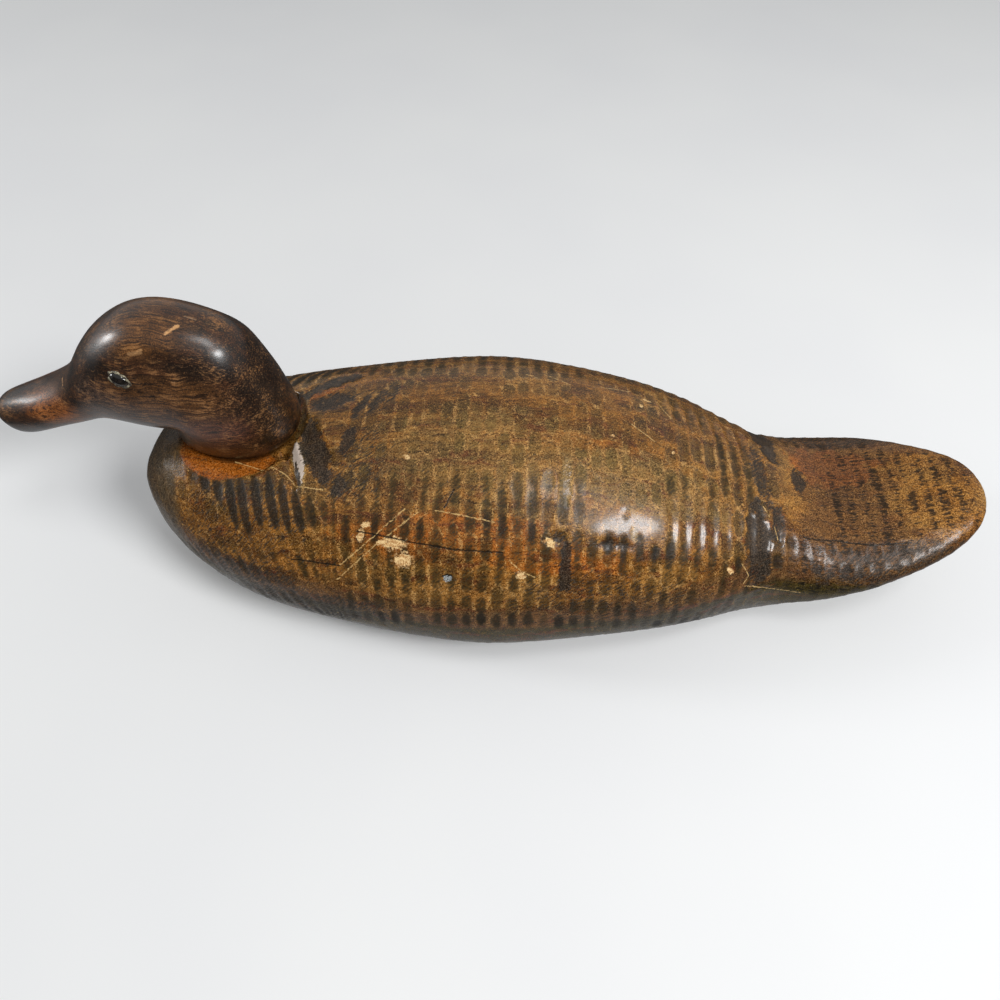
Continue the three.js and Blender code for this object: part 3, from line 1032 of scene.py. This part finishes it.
def headMaterial():
    finish = headFinish
    material, shader, start = startMaterial("polished_head_wood", headVarnish)
    wood = woodNoises(start, headWood)
    height = wood.point.part(2)
    mirrored = start.node("ShaderNodeVectorMath", {"operation": "ABSOLUTE"}, {0: wood.point})
    sided = start.joined(wood.point.part(0), mirrored.part(1), height)
    colour = start.mixed(wood.streak.step(0.4, 0.6), finish["dark"], finish["base"])
    for centre, size, name, share in headZones:
        distance = sided.outward(centre, size) + wood.streak.swing(1.6) + wood.grain.swing(1.0)
        colour = colour.under(distance.step(1.35, 0.45) * share, finish[name])
    colour = coated(colour, finish, headCover, [
        ("line", wood.grain.step(0.51, 0.4)),
        ("light", (wood.grain * 0.6 + wood.blotch * 0.4).step(0.52, 0.62)),
        ("pore", wood.fine.step(0.47, 0.34), finish["dark"]),
        ("fleck", (wood.fine * 0.6 + wood.speckle * 0.4).step(0.55, 0.66), finish["light"]),
    ]).brightened(shadeOf(wood, headShade))
    shaking = start.joined(wood.ragged - 0.5, 0.0, 0.5 - wood.ragged)
    wood.chip = strokeMask(wood.point.vector("ADD", wood.point, shaking), headChips)
    scratch = strokeMask(wood.point, headScratches)
    colour = colour.under(wood.chip * (wood.fine + 0.4).clamped(), finish["bare"])
    colour = colour.under(scratch * wood.speckle.step(0.35, 0.55), finish["scratch"])
    # Painted shade round the foot of the neck, where it meets the seat.
    colour = colour.under(height.step(81, 75) * 0.9, finish["dark"])  # darker where it meets the seat
    linkMap(shader, "Base Color", colour)
    dull = wood.grain.swing(0.25) + wood.speckle.swing(0.25) + wood.blotch.swing(0.2) + wood.chip * 0.3
    linkMap(shader, "Roughness", (dull + headVarnish["Roughness"]).largest(0.1))
    linkMap(shader, "Normal", weighed(wood, headRelief).bump(0.45, 0.3))
    return material


carvedHead, headSkin = buildHead()
carvedHead.data.materials.append(headMaterial())
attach(carvedHead, "root")
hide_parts("head")
print("head carved:", len(carvedHead.data.polygons), "faces")


# A bead of glass: an ellipsoid with its long axis along the opening, sunk so that a low dome of it shows.
def buildEye(side, name):
    centre, lengthwise, crosswise, outward = eyeAxes(side)
    rings, around = 46, 64
    tip = np.linspace(0, math.pi, rings + 2)[1:-1, None]
    turn = np.linspace(0, 2 * math.pi, around, endpoint=False)[None, :]
    along = eye["bead"] * eye["opening"][0] * np.sin(tip) * np.cos(turn)
    across = eye["bead"] * eye["opening"][1] * np.sin(tip) * np.sin(turn)
    out = eye["bulge"] * np.cos(tip) - eye["sunk"] + 0 * turn
    place = centre + np.stack([along, across, out], -1) @ np.array([lengthwise, crosswise, outward])
    ends = [centre + (sign * eye["bulge"] - eye["sunk"]) * outward for sign in (1, -1)]
    bead = addMesh(name, withEnds(ends[0], place, ends[1]), closedFaces(rings, around))
    if np.dot(np.cross(lengthwise, crosswise), outward) > 0:
        bead.data.flip_normals()
    return bead


# The putty's path, as distances from the eye: a wavy line just outside the opening that lies on the head's
# skin. The skin's height under it is the mean of the skin's own points, each weighed by one over its
# distance cubed.
def puttyPath(side, turn):
    reach = 1.12 + 0.05 * np.sin(3 * turn + side) + 0.04 * np.sin(7 * turn)
    along = reach * eye["opening"][0] * np.cos(turn)
    across = (reach + 0.06) * eye["opening"][1] * np.sin(turn)
    u, v, w = fromEye(headSkin.reshape(-1, 3), side)
    near = (np.hypot(u, v) < 12) & (np.abs(w) < 6) & (eyeShare(u, v) > 1.5)
    weight = 1 / np.hypot(along[:, None] - u[near], across[:, None] - v[near]) ** 3
    skin = (weight * w[near]).sum(1) / weight.sum(1)
    return np.stack([along, across, skin + 0.05], -1)


# The putty round an eye: a lumpy tube along that path, flatter than it is wide.
def buildPutty(side, name):
    centre, lengthwise, crosswise, outward = eyeAxes(side)
    steps, around = 120, 20
    turn = np.linspace(0, 2 * math.pi, steps, endpoint=False)
    path = puttyPath(side, turn)
    forward = np.roll(path, -1, 0) - np.roll(path, 1, 0)
    aside = np.cross(forward, (0, 0, 1))
    aside = aside / np.linalg.norm(aside, axis=-1, keepdims=True)
    thick = eye["ring"] * (1 + 0.3 * np.sin(5 * turn + 1) * np.sin(2 * turn) + 0.14 * np.sin(11 * turn))
    spin = np.linspace(0, 2 * math.pi, around, endpoint=False)
    ring = aside[:, None] * np.cos(spin)[None, :, None]
    ring = ring + np.array([0, 0, eye["ringHeight"]]) * np.sin(spin)[None, :, None]
    local = path[:, None] + ring * thick[:, None, None]
    local = local + layeredNoise(local, [((0.9, 0.9, 0.9), 0.12, 21)])[..., None]
    place = centre + local @ np.array([lengthwise, crosswise, outward])
    i, j = np.meshgrid(np.arange(steps), np.arange(around), indexing="ij")
    following, beside = (i + 1) % steps, (j + 1) % around
    corners = [(i, j), (following, j), (following, beside), (i, beside)]
    quads = np.stack([a * around + b for a, b in corners], -1)
    putty = addMesh(name, place.reshape(-1, 3), quads.reshape(-1, 4).tolist())
    if np.dot(np.cross(lengthwise, crosswise), outward) < 0:
        putty.data.flip_normals()
    return putty


def glassMaterial():
    values = {"Base Color": paint(20, 16, 13), "Roughness": 0.06, "Coat Weight": 0.5, "Coat Roughness": 0.03}
    material, shader, start = startMaterial("dark_eye_glass", values)
    cloud = start.onPiece().noise(700, 3.0)
    linkMap(shader, "Base Color", start.mixed(cloud.step(0.4, 0.75), paint(14, 11, 9), paint(48, 40, 34)))
    linkMap(shader, "Roughness", cloud * 0.12 + 0.02)
    return material


def puttyMaterial():
    material, shader, start = startMaterial("aged_eye_putty", {"Roughness": 0.5})
    cloud = start.onPiece().noise(900, 3.0, 0.7)
    colour = start.mixed(cloud.step(0.42, 0.62), paint(60, 50, 40), paint(166, 158, 132))
    linkMap(shader, "Base Color", colour)
    linkMap(shader, "Roughness", cloud * 0.3 + 0.35)
    linkMap(shader, "Normal", cloud.bump(0.5, 0.2))
    return material


glass, putty = glassMaterial(), puttyMaterial()
for side, word in ((-1, "left"), (1, "right")):
    bead = buildEye(side, "glass_eye_" + word)
    bead.data.materials.append(glass)
    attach(bead, "root")
    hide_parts("eye_" + word)
    ring = buildPutty(side, "eye_putty_" + word)
    ring.data.materials.append(putty)
    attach(ring, "root")
print("eyes set")

# Lamps stand in a direction from the duck: degrees turned from the tail towards the far side, and degrees up.
studio = {
    "floorSize": 8.0,  # metres
    "floor": paint(238, 239, 239),
    "floorShade": paint(235, 236, 237),
    "around": paint(250, 251, 252),
    "soft": 0.35,  # the room's light on matt surfaces
    "above": 0.5,  # the room as it shows in the varnish
    "front": 0.12,  # what is left of that low on the near side
    "below": 0.3,  # the floor as it shows in the varnish, straight below
    "seen": 0.7,  # the plain pale wall behind the floor
    "distance": 1.2,  # metres from the duck to each lamp
    "lamps": [
        {"name": "key", "turn": -35, "rise": 44, "width": 0.44, "height": 0.25, "power": 9.4},
        {"name": "ceiling", "turn": -30, "rise": 70, "width": 0.36, "height": 0.3, "power": 2.4},
        {"name": "window", "turn": 178, "rise": 22, "width": 0.24, "height": 0.26, "power": 3.2},
    ],
    "aim": (0.0, 0.0, 0.06),
}


def addFloor():
    half = studio["floorSize"] / 2
    corners = np.array([(-1, -1, 0), (1, -1, 0), (1, 1, 0), (-1, 1, 0)]) * half / mm
    floor = addMesh("floor", corners, [(0, 1, 2, 3)])
    material, shader, start = startMaterial("pale_floor", {"Roughness": 0.8, "Specular IOR Level": 0.0})
    cloud = start.onPiece().noise(6, 2.0)
    linkMap(shader, "Base Color", start.mixed(cloud.step(0.3, 0.7), studio["floor"], studio["floorShade"]))
    floor.data.materials.append(material)
    floor.visible_glossy = False


def addLamps():
    for lamp in studio["lamps"]:
        light = bpy.data.lights.new(lamp["name"], "AREA")
        light.shape = "ELLIPSE"
        light.size = lamp["width"]
        light.size_y = lamp["height"]
        light.energy = lamp["power"]
        turn, rise = math.radians(lamp["turn"]), math.radians(lamp["rise"])
        out = np.array([math.cos(turn) * math.cos(rise), math.sin(turn) * math.cos(rise), math.sin(rise)])
        piece = bpy.data.objects.new(lamp["name"], light)
        piece.location = np.array(studio["aim"]) + out * studio["distance"]
        piece.rotation_euler = (math.pi / 2 - rise, 0, turn + math.pi / 2)
        bpy.context.scene.collection.objects.link(piece)


# The room: a plain pale wall, and even pale light on matt surfaces. In the varnish it is dimmer low on the
# near side, and the floor shows only where the varnish faces down.
def addRoom():
    world = bpy.data.worlds.new("room")
    bpy.context.scene.world = world
    world.use_nodes = True
    background = world.node_tree.nodes["Background"]
    start = Wire(world.node_tree)
    direction = start.node("ShaderNodeTexCoord", {}, {}, 0)
    y, z = direction.part(1), direction.part(2)
    dim = ((y * -1).step(0.0, 0.6) * z.step(0.85, 0.5)).largest(z.step(0.1, -0.1))
    ground = z.step(-0.6, -0.72) * studio["below"]
    seen = start.node("ShaderNodeLightPath", {}, {}, 0)  # 1 for what the camera sees
    matt = start.node("ShaderNodeLightPath", {}, {}, 2)  # 1 for what lights a matt surface
    mirrored = ground + studio["above"] * (1 - dim * (1 - studio["front"]))
    lit = mirrored + matt * (studio["soft"] - mirrored)
    background.inputs["Color"].default_value = studio["around"]
    linkMap(background, "Strength", lit + seen * (studio["seen"] - lit))


addFloor()
addLamps()
addRoom()
bpy.context.scene.view_settings.view_transform = "Standard"
print("studio lit")
